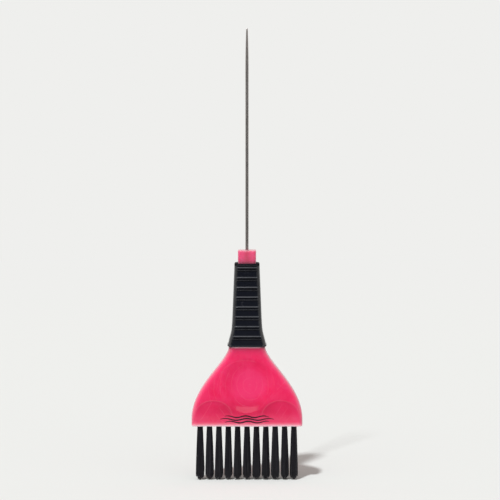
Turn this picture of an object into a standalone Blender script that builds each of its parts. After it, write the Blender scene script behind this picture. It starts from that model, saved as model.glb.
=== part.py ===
"""Pin-tail tint brush: a one-piece moulded handle and head, a soft grip sleeve, a steel pin tail,
and two rows of eleven bristle tufts, each held in its blind hole by a flat wire anchor.

Frame: metres. Z runs up the brush from the bristle tips (Z = 0) to the point of the pin.
X runs across the head, and -Y is the front face. The origin is the centre of the bristle tips.
"""

import math

import bmesh
import bpy
from mathutils import Vector

MM = 0.001
COLLECTION_NAME = "pin_tail_tint_brush"

# Levels along the brush
MOUTH_Z = 27.25 * MM  # the head's lower face, where the tufts come out
BAND_TOP_Z = 30.5 * MM  # top of the head's full-width band
SHOULDER_Z = 67.4 * MM  # ledge that the grip sleeve stops against
GRIP_BOTTOM_Z = 67.7 * MM
GRIP_TOP_Z = 109.2 * MM
STUB_TOP_Z = 115.7 * MM
PIN_ROOT_Z = 90.7 * MM
PIN_TIP_Z = 226.2 * MM

# Head
HEAD_HALF_WIDTH = 27.8 * MM
NECK_HALF_WIDTH = 9.1 * MM
HEAD_HALF_DEPTH = 4.8 * MM
NECK_HALF_DEPTH = 5.6 * MM
FLAT_TOP_Z = 35.0 * MM  # the front and back faces are plane up to here, and then thicken to the neck
LOWER_HANDLE = 17.0 * MM  # how far the outline leaves the band upwards before it turns in
UPPER_HANDLE = 7.7 * MM  # how far it comes into the neck straight down
HEAD_EDGE_RADIUS = 2.2 * MM
NECK_EDGE_RADIUS = 3.4 * MM
EDGE_BREAK = 0.5 * MM
SHOULDER_BREAK = 0.3 * MM
OUTLINE_STEPS = 14

# Thumb dish, one on each face
DISH_Z = 47.5 * MM
DISH_RIM_RADIUS = 13.4 * MM
DISH_DEPTH = 1.6 * MM
DISH_CENTRE_OUT = 0.9 * MM  # the cutting ellipsoid's centre stands this far outside the face
DISH_TILT = math.radians(2.5)  # deeper towards the bristles

# Shallow scoops either side of the dish, open at the head's lower edge
SCOOP_X = 17.5 * MM
SCOOP_Z = 32.0 * MM
SCOOP_HALF_WIDTH = 9.5 * MM
SCOOP_HALF_HEIGHT = 8.5 * MM
SCOOP_DEPTH = 0.4 * MM

# Grip sleeve
GRIP_TOP_HALF_WIDTH = 6.2 * MM
GRIP_WIDTH_TAPER = 0.037
GRIP_FLARE_WIDTH = 2.05 * MM
GRIP_TOP_HALF_DEPTH = 4.9 * MM
GRIP_DEPTH_TAPER = 0.004
GRIP_FLARE_DEPTH = 0.5 * MM
GRIP_FLARE_LENGTH = 5.7 * MM
GRIP_WALL_X = 1.65 * MM
GRIP_WALL_Y = 1.6 * MM
GRIP_EDGE_RADIUS = 2.4 * MM
TANG_EDGE_RADIUS = 1.5 * MM
SLEEVE_CLEARANCE = 0.2 * MM
GRIP_STEPS = 12

# Ribs are what is left between pockets sunk in the sleeve's front and back faces
RIB_COUNT = 8
RIB_PITCH = 4.93 * MM
FIRST_RIB_TOP_Z = 106.8 * MM
RIB_HEIGHT = 1.5 * MM
POCKET_DEPTH = 0.45 * MM
POCKET_BORDER = 1.3 * MM
TOP_POCKET_HEIGHT = 1.6 * MM
BOTTOM_POCKET_HEIGHT = 2.0 * MM

# Pin tail
PIN_RADIUS = 0.825 * MM
PIN_TIP_RADIUS = 0.4 * MM
PIN_TAPER_LENGTH = 18.0 * MM
PIN_TAPER_STEPS = 6
PIN_TAPER_POWER = 1.8
PIN_GROOVE_DEPTH = 0.15 * MM
PIN_GROOVE_PITCH = 3.0 * MM
PIN_GROOVES = 3
PIN_SEGMENTS = 16
BORE_RADIUS = 0.9 * MM

# Tufts, their holes and their anchors
TUFT_COLUMNS = 11
TUFT_PITCH = 4.7 * MM
ROWS = {"front": -1.9 * MM, "back": 1.9 * MM}
HOLE_RADIUS = 1.4 * MM
HOLE_DEPTH = 7.0 * MM
HOLE_SEGMENTS = 16
TUFT_SEGMENTS = 10
TUFT_ROOT_RADIUS = 1.27 * MM
TUFT_TIP_HALF_WIDTH = 2.12 * MM
TUFT_TIP_HALF_DEPTH = 1.5 * MM
TUFT_NOSE_LENGTH = 3.2 * MM
TUFT_NOSE_ANGLES = (14, 38, 62, 90)  # degrees round the nose from its lowest point
TUFT_BALL_ANGLES = (38, 72)  # degrees above the flex axis
TUFT_FLEX_Z = MOUTH_Z - 0.4 * MM  # the axis that the free length bends about
ANCHOR_SIZE = Vector((3.2, 0.35, 1.5)) * MM
ANCHOR_CLEARANCE = 0.1 * MM
ANCHOR_Z = MOUTH_Z + 5.5 * MM

# Overlap that a cutter runs past the face it opens
OVERCUT = 1.0 * MM


def clear_scene():
    for obj in list(bpy.data.objects):
        bpy.data.objects.remove(obj, do_unlink=True)


def new_collection(name):
    collection = bpy.data.collections.new(name)
    bpy.context.scene.collection.children.link(collection)
    return collection


def move_to(obj, collection):
    for old in list(obj.users_collection):
        old.objects.unlink(obj)
    collection.objects.link(obj)
    return obj


def make_material(name, color, roughness, metallic=0.0):
    material = bpy.data.materials.new(name)
    material.use_nodes = True
    shader = material.node_tree.nodes["Principled BSDF"]
    shader.inputs["Base Color"].default_value = (*color, 1.0)
    shader.inputs["Roughness"].default_value = roughness
    shader.inputs["Metallic"].default_value = metallic
    return material


def as_cutter(obj):
    obj.hide_render = True
    obj.display_type = "WIRE"
    return move_to(obj, cutters)


def cut_with(obj, tools):
    """Takes the cutter objects away from obj, as one Boolean each."""
    for tool in tools:
        boolean = obj.modifiers.new("cut " + tool.name, "BOOLEAN")
        boolean.operation = "DIFFERENCE"
        boolean.object = tool


def mix(start, end, share):
    return start + (end - start) * share


# ---------------------------------------------------------------- lofts


def rounded_ring(half_width, half_depth, radius, z, corner_steps=4):
    """Points of a rounded rectangle at height z, anticlockwise seen from above."""
    radius = min(radius, half_width, half_depth)
    ring = []
    for corner in range(4):
        start = corner * math.pi / 2
        side_x = 1 if corner in (0, 3) else -1
        side_y = 1 if corner in (0, 1) else -1
        for step in range(corner_steps + 1):
            angle = start + step / corner_steps * math.pi / 2
            x = side_x * (half_width - radius) + radius * math.cos(angle)
            y = side_y * (half_depth - radius) + radius * math.sin(angle)
            ring.append(Vector((x, y, z)))
    return ring


def oval_ring(half_width, half_depth, z, segments):
    """Points of an ellipse at height z, anticlockwise seen from above."""
    ring = []
    for step in range(segments):
        angle = 2 * math.pi * step / segments
        ring.append(Vector((half_width * math.cos(angle), half_depth * math.sin(angle), z)))
    return ring


def loft_mesh(name, rings):
    """A closed mesh through rings of equal length, given from the lowest to the highest."""
    shape = bmesh.new()
    rows = [[shape.verts.new(point) for point in ring] for ring in rings]
    count = len(rows[0])
    for lower, upper in zip(rows, rows[1:]):
        for i in range(count):
            j = (i + 1) % count
            shape.faces.new((lower[i], lower[j], upper[j], upper[i]))
    shape.faces.new(list(reversed(rows[0])))
    shape.faces.new(rows[-1])
    mesh = bpy.data.meshes.new(name)
    shape.to_mesh(mesh)
    shape.free()
    mesh.shade_smooth()
    mesh.set_sharp_from_angle(angle=math.radians(35))
    return mesh


def add_object(name, mesh, material=None, location=(0, 0, 0)):
    obj = bpy.data.objects.new(name, mesh)
    obj.location = location
    parts.objects.link(obj)
    if material and not mesh.materials:
        mesh.materials.append(material)
    return obj


# ---------------------------------------------------------------- outlines


def grip_flare(z):
    return math.exp(-(((z - GRIP_BOTTOM_Z) / GRIP_FLARE_LENGTH) ** 2))


def grip_half_width(z):
    taper = GRIP_WIDTH_TAPER * (GRIP_TOP_Z - z)
    return GRIP_TOP_HALF_WIDTH + taper + GRIP_FLARE_WIDTH * grip_flare(z)


def grip_half_depth(z):
    taper = GRIP_DEPTH_TAPER * (GRIP_TOP_Z - z)
    return GRIP_TOP_HALF_DEPTH + taper + GRIP_FLARE_DEPTH * grip_flare(z)


def tang_ring(z, grow=0.0):
    """The handle's section inside the sleeve, or with grow, the sleeve's cavity round it."""
    inner_z = min(z, GRIP_TOP_Z)
    half_width = grip_half_width(inner_z) - GRIP_WALL_X + grow
    half_depth = grip_half_depth(inner_z) - GRIP_WALL_Y + grow
    return rounded_ring(half_width, half_depth, TANG_EDGE_RADIUS + grow, z)


def head_half_depth(z):
    share = max(0.0, (z - FLAT_TOP_Z) / (SHOULDER_Z - FLAT_TOP_Z))
    return mix(HEAD_HALF_DEPTH, NECK_HALF_DEPTH, share)


def head_outline():
    """(half width, z) up the head's side: an ogee from the band to the neck, as one cubic curve."""
    points = [
        (HEAD_HALF_WIDTH, BAND_TOP_Z),
        (HEAD_HALF_WIDTH, BAND_TOP_Z + LOWER_HANDLE),
        (NECK_HALF_WIDTH, SHOULDER_Z - UPPER_HANDLE),
        (NECK_HALF_WIDTH, SHOULDER_Z),
    ]
    outline = []
    for step in range(OUTLINE_STEPS + 1):
        t = step / OUTLINE_STEPS
        weights = ((1 - t) ** 3, 3 * t * (1 - t) ** 2, 3 * t**2 * (1 - t), t**3)
        half_width = sum(w * p[0] for w, p in zip(weights, points))
        z = sum(w * p[1] for w, p in zip(weights, points))
        outline.append((half_width, z))
    return outline


def grip_levels():
    """Heights of the sleeve's sections, closer together in the flare."""
    length = GRIP_TOP_Z - GRIP_BOTTOM_Z
    return [GRIP_BOTTOM_Z + length * (step / GRIP_STEPS) ** 1.5 for step in range(GRIP_STEPS + 1)]


# ---------------------------------------------------------------- handle and head


def dish_cutter(name, side):
    """Ellipsoid that sinks the thumb dish. side is -1 for the front face and 1 for the back."""
    depth_radius = DISH_DEPTH + DISH_CENTRE_OUT
    rim_share = math.sqrt(1 - (DISH_CENTRE_OUT / depth_radius) ** 2)
    face_radius = DISH_RIM_RADIUS / rim_share
    bpy.ops.mesh.primitive_uv_sphere_add(segments=32, ring_count=12, radius=1.0)
    cutter = bpy.context.object
    cutter.name = name
    cutter.scale = (face_radius, face_radius, depth_radius)
    cutter.rotation_euler = (math.pi / 2 + side * DISH_TILT, 0, 0)
    cutter.location = (0, side * (head_half_depth(DISH_Z) + DISH_CENTRE_OUT), DISH_Z)
    return as_cutter(cutter)


def scoop_cutter(name, side, x):
    """Lens that sinks one of the shallow scoops beside the dish."""
    bpy.ops.mesh.primitive_uv_sphere_add(segments=28, ring_count=10, radius=1.0)
    cutter = bpy.context.object
    cutter.name = name
    cutter.scale = (SCOOP_HALF_WIDTH, SCOOP_HALF_HEIGHT, SCOOP_DEPTH)
    cutter.rotation_euler = (math.pi / 2, 0, 0)
    cutter.location = (x, side * HEAD_HALF_DEPTH, SCOOP_Z)
    return as_cutter(cutter)


def hollow_cutters():
    """The thumb dish and its two scoops, on the front face and the same on the back."""
    tools = []
    for row, side in (("front", -1), ("back", 1)):
        tools.append(dish_cutter(f"{row}_dish", side))
        tools.append(scoop_cutter(f"{row}_scoop_left", side, -SCOOP_X))
        tools.append(scoop_cutter(f"{row}_scoop_right", side, SCOOP_X))
    return tools


def hole_cutters():
    """One blind hole for each tuft, with the slot that its anchor bites into the wall."""
    tools = []
    for row, y in ROWS.items():
        for column, x in enumerate(column_places(), start=1):
            height = HOLE_DEPTH + OVERCUT
            bpy.ops.mesh.primitive_cylinder_add(
                vertices=HOLE_SEGMENTS,
                radius=HOLE_RADIUS,
                depth=height,
                location=(x, y, MOUTH_Z - OVERCUT + height / 2),
            )
            hole = bpy.context.object
            hole.name = f"{row}_hole_{column:02d}"
            bpy.ops.mesh.primitive_cube_add(size=1, location=(x, y, ANCHOR_Z))
            slot = bpy.context.object
            slot.name = f"{row}_anchor_slot_{column:02d}"
            slot.scale = ANCHOR_SIZE + Vector((1, 1, 1)) * 2 * ANCHOR_CLEARANCE
            tools += [as_cutter(hole), as_cutter(slot)]
    return tools


def column_places():
    middle = (TUFT_COLUMNS - 1) / 2
    return [(column - middle) * TUFT_PITCH for column in range(TUFT_COLUMNS)]


def pin_bore_cutter():
    height = STUB_TOP_Z + OVERCUT - (PIN_ROOT_Z - BORE_RADIUS)
    bpy.ops.mesh.primitive_cylinder_add(
        vertices=PIN_SEGMENTS,
        radius=BORE_RADIUS,
        depth=height,
        location=(0, 0, STUB_TOP_Z + OVERCUT - height / 2),
    )
    bore = bpy.context.object
    bore.name = "pin_bore"
    return as_cutter(bore)


def make_handle():
    """The moulded body: head, shoulder, tang inside the sleeve, and the stub that shows above it."""
    rings = []
    for share in (0.0, 0.35, 1.0):
        inset = EDGE_BREAK * (1 - share) ** 2
        rings.append(
            rounded_ring(
                HEAD_HALF_WIDTH - inset,
                HEAD_HALF_DEPTH - inset,
                HEAD_EDGE_RADIUS - inset,
                MOUTH_Z + EDGE_BREAK * share,
            )
        )
    for half_width, z in head_outline():
        share = (z - BAND_TOP_Z) / (SHOULDER_Z - BAND_TOP_Z)
        radius = mix(HEAD_EDGE_RADIUS, NECK_EDGE_RADIUS, share)
        rings.append(rounded_ring(half_width, head_half_depth(z), radius, z))
    rings[-1] = rounded_ring(
        NECK_HALF_WIDTH, NECK_HALF_DEPTH, NECK_EDGE_RADIUS, SHOULDER_Z - SHOULDER_BREAK
    )
    rings.append(
        rounded_ring(
            NECK_HALF_WIDTH - SHOULDER_BREAK,
            NECK_HALF_DEPTH - SHOULDER_BREAK,
            NECK_EDGE_RADIUS - SHOULDER_BREAK,
            SHOULDER_Z,
        )
    )
    rings.append(tang_ring(SHOULDER_Z))
    rings += [tang_ring(z) for z in grip_levels()[1:]]
    rings.append(tang_ring(STUB_TOP_Z - EDGE_BREAK))
    rings.append(tang_ring(STUB_TOP_Z, grow=-EDGE_BREAK))
    handle = add_object("handle_body", loft_mesh("handle_body", rings), pink_plastic)
    cut_with(handle, [*hollow_cutters(), *hole_cutters(), pin_bore_cutter()])
    return handle


# ---------------------------------------------------------------- grip sleeve


def pocket_spans():
    """(bottom, top) of each pocket, from the top of the sleeve down."""
    spans = [(FIRST_RIB_TOP_Z, FIRST_RIB_TOP_Z + TOP_POCKET_HEIGHT)]
    for rib in range(RIB_COUNT - 1):
        rib_bottom = FIRST_RIB_TOP_Z - rib * RIB_PITCH - RIB_HEIGHT
        spans.append((rib_bottom - (RIB_PITCH - RIB_HEIGHT), rib_bottom))
    last_bottom = FIRST_RIB_TOP_Z - (RIB_COUNT - 1) * RIB_PITCH - RIB_HEIGHT
    spans.append((last_bottom - BOTTOM_POCKET_HEIGHT, last_bottom))
    return spans


def pocket_cutters():
    tools = []
    for number, (bottom, top) in enumerate(pocket_spans(), start=1):
        middle = (bottom + top) / 2
        half_width = grip_half_width(top) - POCKET_BORDER
        floor = grip_half_depth(middle) - POCKET_DEPTH
        for row, side in (("front", -1), ("back", 1)):
            bpy.ops.mesh.primitive_cube_add(size=1, location=(0, side * (floor + OVERCUT / 2), middle))
            pocket = bpy.context.object
            pocket.name = f"{row}_pocket_{number:02d}"
            pocket.scale = (2 * half_width, OVERCUT, top - bottom)
            tools.append(as_cutter(pocket))
    return tools


def make_grip():
    """Soft sleeve round the tang, open at both ends, with ribbed front and back faces."""
    levels = grip_levels()
    rings = [rounded_ring(grip_half_width(z), grip_half_depth(z), GRIP_EDGE_RADIUS, z) for z in levels]
    lip_z = GRIP_BOTTOM_Z + EDGE_BREAK
    lip = rounded_ring(grip_half_width(lip_z), grip_half_depth(lip_z), GRIP_EDGE_RADIUS, lip_z)
    foot = rounded_ring(
        grip_half_width(GRIP_BOTTOM_Z) - EDGE_BREAK,
        grip_half_depth(GRIP_BOTTOM_Z) - EDGE_BREAK,
        GRIP_EDGE_RADIUS - EDGE_BREAK,
        GRIP_BOTTOM_Z,
    )
    crown_z = GRIP_TOP_Z - EDGE_BREAK
    crown = rounded_ring(grip_half_width(crown_z), grip_half_depth(crown_z), GRIP_EDGE_RADIUS, crown_z)
    top = rounded_ring(
        grip_half_width(GRIP_TOP_Z) - EDGE_BREAK,
        grip_half_depth(GRIP_TOP_Z) - EDGE_BREAK,
        GRIP_EDGE_RADIUS - EDGE_BREAK,
        GRIP_TOP_Z,
    )
    rings = [foot, lip, *rings[1:-1], crown, top]
    grip = add_object("grip_sleeve", loft_mesh("grip_sleeve", rings), black_rubber)

    cavity_levels = [GRIP_BOTTOM_Z - OVERCUT, *levels, GRIP_TOP_Z + OVERCUT]
    cavity_rings = [tang_ring(z, grow=SLEEVE_CLEARANCE) for z in cavity_levels]
    cavity = add_object("sleeve_cavity", loft_mesh("sleeve_cavity", cavity_rings))
    cut_with(grip, [as_cutter(cavity), *pocket_cutters()])
    return grip


# ---------------------------------------------------------------- pin tail


def pin_profile():
    """(radius, z) from the point down to the root, on the +X side."""
    profile = [(0.0, PIN_TIP_Z), (PIN_TIP_RADIUS * 0.75, PIN_TIP_Z - 0.15 * MM)]
    for step in range(PIN_TAPER_STEPS + 1):
        share = step / PIN_TAPER_STEPS
        swell = 1 - (1 - share) ** PIN_TAPER_POWER
        radius = mix(PIN_TIP_RADIUS, PIN_RADIUS, swell)
        profile.append((radius, PIN_TIP_Z - 0.5 * MM - share * PIN_TAPER_LENGTH))
    for groove in range(PIN_GROOVES, 0, -1):
        z = PIN_ROOT_Z + groove * PIN_GROOVE_PITCH
        profile.append((PIN_RADIUS, z + 0.5 * MM))
        profile.append((PIN_RADIUS - PIN_GROOVE_DEPTH, z + 0.2 * MM))
        profile.append((PIN_RADIUS - PIN_GROOVE_DEPTH, z - 0.2 * MM))
        profile.append((PIN_RADIUS, z - 0.5 * MM))
    profile.append((PIN_RADIUS, PIN_ROOT_Z + 0.4 * MM))
    profile.append((PIN_RADIUS - 0.3 * MM, PIN_ROOT_Z))
    profile.append((0.0, PIN_ROOT_Z))
    return profile


def make_pin():
    """Steel pin, turned to a blunt point, with retaining grooves at the root inside the handle."""
    mesh = bpy.data.meshes.new("pin_tail")
    points = [(radius, 0, z) for radius, z in pin_profile()]
    edges = [(i, i + 1) for i in range(len(points) - 1)]
    mesh.from_pydata(points, edges, [])
    pin = add_object("pin_tail", mesh, steel)
    screw = pin.modifiers.new("turn", "SCREW")
    screw.steps = PIN_SEGMENTS
    screw.render_steps = PIN_SEGMENTS
    screw.use_merge_vertices = True
    screw.merge_threshold = 0.00001
    screw.use_smooth_shade = True
    return pin


# ---------------------------------------------------------------- tufts and anchors


def tuft_mesh():
    """Free length of a tuft: round at the root, spreading to an oval end with a domed nose.

    Heights are measured from the flex axis, because each tuft's origin is on its own axis.
    """
    nose_top = TUFT_NOSE_LENGTH - TUFT_FLEX_Z
    lowest = math.cos(math.radians(TUFT_NOSE_ANGLES[0]))
    rings = []
    for angle in TUFT_NOSE_ANGLES:
        half_width = TUFT_TIP_HALF_WIDTH * math.sin(math.radians(angle))
        half_depth = TUFT_TIP_HALF_DEPTH * math.sin(math.radians(angle))
        z = nose_top - TUFT_NOSE_LENGTH * math.cos(math.radians(angle)) / lowest
        rings.append(oval_ring(half_width, half_depth, z, TUFT_SEGMENTS))
    for share in (0.5, 1.0):
        half_width = mix(TUFT_TIP_HALF_WIDTH, TUFT_ROOT_RADIUS, share)
        half_depth = mix(TUFT_TIP_HALF_DEPTH, TUFT_ROOT_RADIUS, share)
        rings.append(oval_ring(half_width, half_depth, mix(nose_top, 0.0, share), TUFT_SEGMENTS))
    for angle in TUFT_BALL_ANGLES:
        radius = TUFT_ROOT_RADIUS * math.cos(math.radians(angle))
        z = TUFT_ROOT_RADIUS * math.sin(math.radians(angle))
        rings.append(oval_ring(radius, radius, z, TUFT_SEGMENTS))
    return loft_mesh("tuft", rings)


def make_tufts():
    mesh = tuft_mesh()
    mesh.materials.append(black_nylon)
    for row, y in ROWS.items():
        for column, x in enumerate(column_places(), start=1):
            add_object(f"{row}_tuft_{column:02d}", mesh, location=(x, y, TUFT_FLEX_Z))


def make_anchors():
    """Flat wire that each tuft is folded over; its ends bite into the wall of the hole."""
    shape = bmesh.new()
    bmesh.ops.create_cube(shape, size=1)
    bmesh.ops.scale(shape, vec=ANCHOR_SIZE, verts=shape.verts)
    mesh = bpy.data.meshes.new("anchor")
    shape.to_mesh(mesh)
    shape.free()
    mesh.materials.append(anchor_wire)
    for row, y in ROWS.items():
        for column, x in enumerate(column_places(), start=1):
            add_object(f"{row}_anchor_{column:02d}", mesh, location=(x, y, ANCHOR_Z))


clear_scene()
parts = new_collection(COLLECTION_NAME)
cutters = new_collection("cutters")
pink_plastic = make_material("pink_plastic", (0.86, 0.045, 0.15), 0.25)
black_rubber = make_material("black_rubber", (0.012, 0.013, 0.018), 0.55)
black_nylon = make_material("black_nylon", (0.022, 0.021, 0.026), 0.5)
steel = make_material("steel", (0.42, 0.40, 0.37), 0.3, metallic=1.0)
anchor_wire = make_material("anchor_wire", (0.55, 0.55, 0.53), 0.35, metallic=1.0)

make_handle()
make_grip()
make_pin()
make_tufts()
make_anchors()
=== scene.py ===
"""Looks of the pin-tail tint brush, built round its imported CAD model.

The moulded handle, the grip sleeve, the pin and every tuft are rebuilt here as fine meshes in the
places that the frame gives. Lengths are written in millimetres times MM.
"""

import math

import bmesh
import bpy
import numpy as np
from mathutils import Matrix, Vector


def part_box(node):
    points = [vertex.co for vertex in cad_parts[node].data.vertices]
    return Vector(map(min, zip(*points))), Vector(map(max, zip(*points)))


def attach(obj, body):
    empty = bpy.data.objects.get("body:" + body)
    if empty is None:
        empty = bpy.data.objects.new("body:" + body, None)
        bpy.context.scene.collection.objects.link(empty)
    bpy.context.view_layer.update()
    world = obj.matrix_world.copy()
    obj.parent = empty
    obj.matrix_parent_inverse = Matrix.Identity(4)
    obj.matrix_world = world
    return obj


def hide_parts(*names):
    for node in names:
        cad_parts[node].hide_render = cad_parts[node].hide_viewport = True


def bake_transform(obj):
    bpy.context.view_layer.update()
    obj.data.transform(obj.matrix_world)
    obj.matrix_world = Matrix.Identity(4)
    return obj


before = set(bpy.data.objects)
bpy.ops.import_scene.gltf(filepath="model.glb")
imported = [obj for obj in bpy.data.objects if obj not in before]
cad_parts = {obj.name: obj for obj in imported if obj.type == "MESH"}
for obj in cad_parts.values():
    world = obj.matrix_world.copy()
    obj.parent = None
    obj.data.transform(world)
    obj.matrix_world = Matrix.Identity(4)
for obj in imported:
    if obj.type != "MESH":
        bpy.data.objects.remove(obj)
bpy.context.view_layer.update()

MM = 0.001
HANDLE = "handle"
ROWS = ("front", "back")
COLUMNS = range(1, 12)
SEAM_HEIGHT = 0.05 * MM

# ---------------------------------------------------------------- sizes

handle_low, handle_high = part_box("handle_body")
grip_low, grip_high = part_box("grip_sleeve")
pin_low, pin_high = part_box("pin_tail")

MOUTH_Z = handle_low.z
STUB_TOP_Z = handle_high.z
HEAD_HALF_WIDTH = handle_high.x - SEAM_HEIGHT
NECK_HALF_DEPTH = handle_high.y
GRIP_BOTTOM_Z = grip_low.z
GRIP_TOP_Z = grip_high.z
GRIP_LIP_HALF_WIDTH = grip_high.x
GRIP_LIP_HALF_DEPTH = grip_high.y

BAND_TOP_Z = MOUTH_Z + 3.25 * MM
SHOULDER_Z = GRIP_BOTTOM_Z - 0.3 * MM
HEAD_HALF_DEPTH = 4.8 * MM
FLAT_TOP_Z = MOUTH_Z + 7.75 * MM
NECK_HALF_WIDTH = 9.1 * MM
# how far the outline's curve runs straight up from the band, and straight down from the shoulder
LOWER_HANDLE = 17.0 * MM
UPPER_HANDLE = 7.7 * MM
HEAD_EDGE_RADIUS = 2.2 * MM
NECK_EDGE_RADIUS = 3.4 * MM
BOTTOM_BREAK = 0.6 * MM
SHOULDER_BREAK = 0.35 * MM
TANG_HALF_WIDTH = 4.55 * MM
TANG_HALF_DEPTH = 3.3 * MM
TANG_FOOT_HALF_WIDTH = GRIP_LIP_HALF_WIDTH - 1.7 * MM
TANG_SWELL = 0.5 * MM
TANG_EDGE_RADIUS = 1.5 * MM
TANG_ROOM = 0.04 * MM
STUB_BREAK = 0.5 * MM

DISH_Z = 48.0 * MM
DISH_HALF_WIDTH = 12.5 * MM
DISH_HALF_HEIGHT = 13.8 * MM
DISH_DEPTH = 1.6 * MM
DISC_X = 1.5 * MM
DISC_RADIUS = 6.9 * MM
SCOOP_X = 16.8 * MM
SCOOP_Z = 32.0 * MM
SCOOP_HALF_WIDTH = 9.5 * MM
SCOOP_HALF_HEIGHT = 8.5 * MM
SCOOP_DEPTH = 0.33 * MM
ROOTS_Z = MOUTH_Z + 8.0 * MM
ARC_PITCH = 2.9 * MM

RIB_COUNT = 8
RIB_PITCH = 4.93 * MM
FIRST_RIB_TOP_Z = 107.36 * MM
RIB_HEIGHT = 1.4 * MM
POCKET_DEPTH = 0.45 * MM
POCKET_BORDER = 1.3 * MM
TOP_POCKET_HEIGHT = 1.25 * MM
BOTTOM_POCKET_HEIGHT = 3.35 * MM
BOTTOM_POCKET_EDGE = 0.35 * MM
POCKET_EDGE = 0.22 * MM
LAST_RIB_BOTTOM_Z = FIRST_RIB_TOP_Z - (RIB_COUNT - 1) * RIB_PITCH - RIB_HEIGHT
BOTTOM_POCKET_END_Z = LAST_RIB_BOTTOM_Z - BOTTOM_POCKET_HEIGHT
GRIP_TOP_HALF_WIDTH = 6.2 * MM
GRIP_TOP_HALF_DEPTH = 4.9 * MM
GRIP_EDGE_RADIUS = 2.4 * MM
GRIP_TOP_RADIUS = 0.45 * MM
GRIP_FOOT_RADIUS = 0.35 * MM

PIN_RADIUS = pin_high.x
PIN_TIP_RADIUS = 0.4 * MM
PIN_TIP_HEIGHT = 0.3 * MM
PIN_TAPER_LENGTH = 18.0 * MM
PIN_SEGMENTS = 40

HOLE_RADIUS = 1.4 * MM
HOLE_DEPTH = 7.0 * MM
FILAMENT_RADIUS = 0.1 * MM
FILAMENT_SPACING = 0.215 * MM
FILAMENT_SIDES = 5
FILAMENT_STEPS = 11
FILAMENT_SUNK = 3.2 * MM
CLUMP_COUNT = 9
TUFT_ROOT_RADIUS = 1.37 * MM
TUFT_TIP_HALF_WIDTH = 2.3 * MM
TUFT_TIP_HALF_DEPTH = 1.5 * MM
TUFT_NOSE = 2.5 * MM
TUFT_FULL_Z = 2.5 * MM

MARK_Z = 31.0 * MM
MARK_LENGTH = 27.0 * MM
MARK_PITCH = 1.35 * MM
MARK_WAVE = 0.42 * MM
MARK_STROKE = 0.7 * MM
MARK_FILM = 0.02 * MM

# points along one face, one side and one corner of a section
HANDLE_STEPS = (136, 10, 8)
GRIP_STEPS = (48, 10, 9)
CAVITY_STEPS = (24, 4, 8)

# ---------------------------------------------------------------- mesh helpers


def smooth_step(low, high, value):
    """0 at low and 1 at high, which may be the smaller of the two."""
    share = np.clip((value - low) / (high - low), 0.0, 1.0)
    return share * share * (3 - 2 * share)


def fade(distance, length):
    """1 at no distance, dying away over the length."""
    return np.exp(-distance / length)


def bell(offset, width):
    """1 at no offset, dying away on both sides over the width."""
    return np.exp(-((offset / width) ** 2))


def rounded_section(half_width, half_depth, radius, steps, inset=0.0):
    """(x, y) points round a rounded rectangle that is drawn in by inset all round.

    They run anticlockwise seen from above, from the left end of the front face.
    """
    face_steps, side_steps, corner_steps = steps
    half_width, half_depth, radius = half_width - inset, half_depth - inset, radius - inset
    flat_x = half_width - radius
    flat_y = half_depth - radius
    points = []
    for step in range(face_steps):
        points.append((-flat_x + 2 * flat_x * step / face_steps, -half_depth))
    for step in range(corner_steps):
        angle = -math.pi / 2 + math.pi / 2 * step / corner_steps
        points.append((flat_x + radius * math.cos(angle), -flat_y + radius * math.sin(angle)))
    for step in range(side_steps):
        points.append((half_width, -flat_y + 2 * flat_y * step / side_steps))
    for step in range(corner_steps):
        angle = math.pi / 2 * step / corner_steps
        points.append((flat_x + radius * math.cos(angle), flat_y + radius * math.sin(angle)))
    points = np.array(points)
    return np.concatenate([points, -points])


def add_seam(section, steps):
    """Raises the point in the middle of each side of a section, for the mould's parting line."""
    face_steps, side_steps, corner_steps = steps
    right = face_steps + corner_steps + side_steps // 2
    for middle in (right, right + len(section) // 2):
        section[middle, 0] += math.copysign(SEAM_HEIGHT, section[middle, 0])


def ring_at(section, z):
    """A section's (x, y) points as (x, y, z) points at one height."""
    return np.column_stack([section, np.full(len(section), z)])


def lower_break(bottom_z, radius):
    """(height, inset) of the sections round a rounded lower edge."""
    levels = []
    for step in range(5):
        angle = math.pi / 2 * step / 4
        levels.append((bottom_z + radius * (1 - math.cos(angle)), radius * (1 - math.sin(angle))))
    return levels


def upper_break(start_z, radius, steps=4):
    """(height, inset) of the sections round a rounded upper edge that starts at start_z."""
    levels = []
    for step in range(1, steps + 1):
        angle = math.pi / 2 * step / steps
        levels.append((start_z + radius * math.sin(angle), radius * (1 - math.cos(angle))))
    return levels


def grid_faces(rings, around):
    """Quads between consecutive rings of a tube, and one face on each end."""
    faces = []
    for ring in range(rings - 1):
        for i in range(around):
            j = (i + 1) % around
            low, high = ring * around, (ring + 1) * around
            faces.append((low + i, low + j, high + j, high + i))
    faces.append(tuple(reversed(range(around))))
    faces.append(tuple((rings - 1) * around + i for i in range(around)))
    return faces


def mesh_object(name, points, faces):
    """A new object in the scene from lists of points and faces."""
    mesh = bpy.data.meshes.new(name)
    mesh.from_pydata(points, [], faces)
    obj = bpy.data.objects.new(name, mesh)
    bpy.context.scene.collection.objects.link(obj)
    return obj


def tube_object(name, rings):
    """A closed mesh through an array of rings (ring, point, xyz), the lowest ring first."""
    rings = np.asarray(rings)
    return mesh_object(name, rings.reshape(-1, 3).tolist(), grid_faces(rings.shape[0], rings.shape[1]))


def bmesh_object(name, shape):
    """A new object in the scene from a bmesh, which is freed."""
    mesh = bpy.data.meshes.new(name)
    shape.to_mesh(mesh)
    shape.free()
    obj = bpy.data.objects.new(name, mesh)
    bpy.context.scene.collection.objects.link(obj)
    return obj


def smooth(obj, degrees):
    obj.data.shade_smooth()
    obj.data.set_sharp_from_angle(angle=math.radians(degrees))


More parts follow.
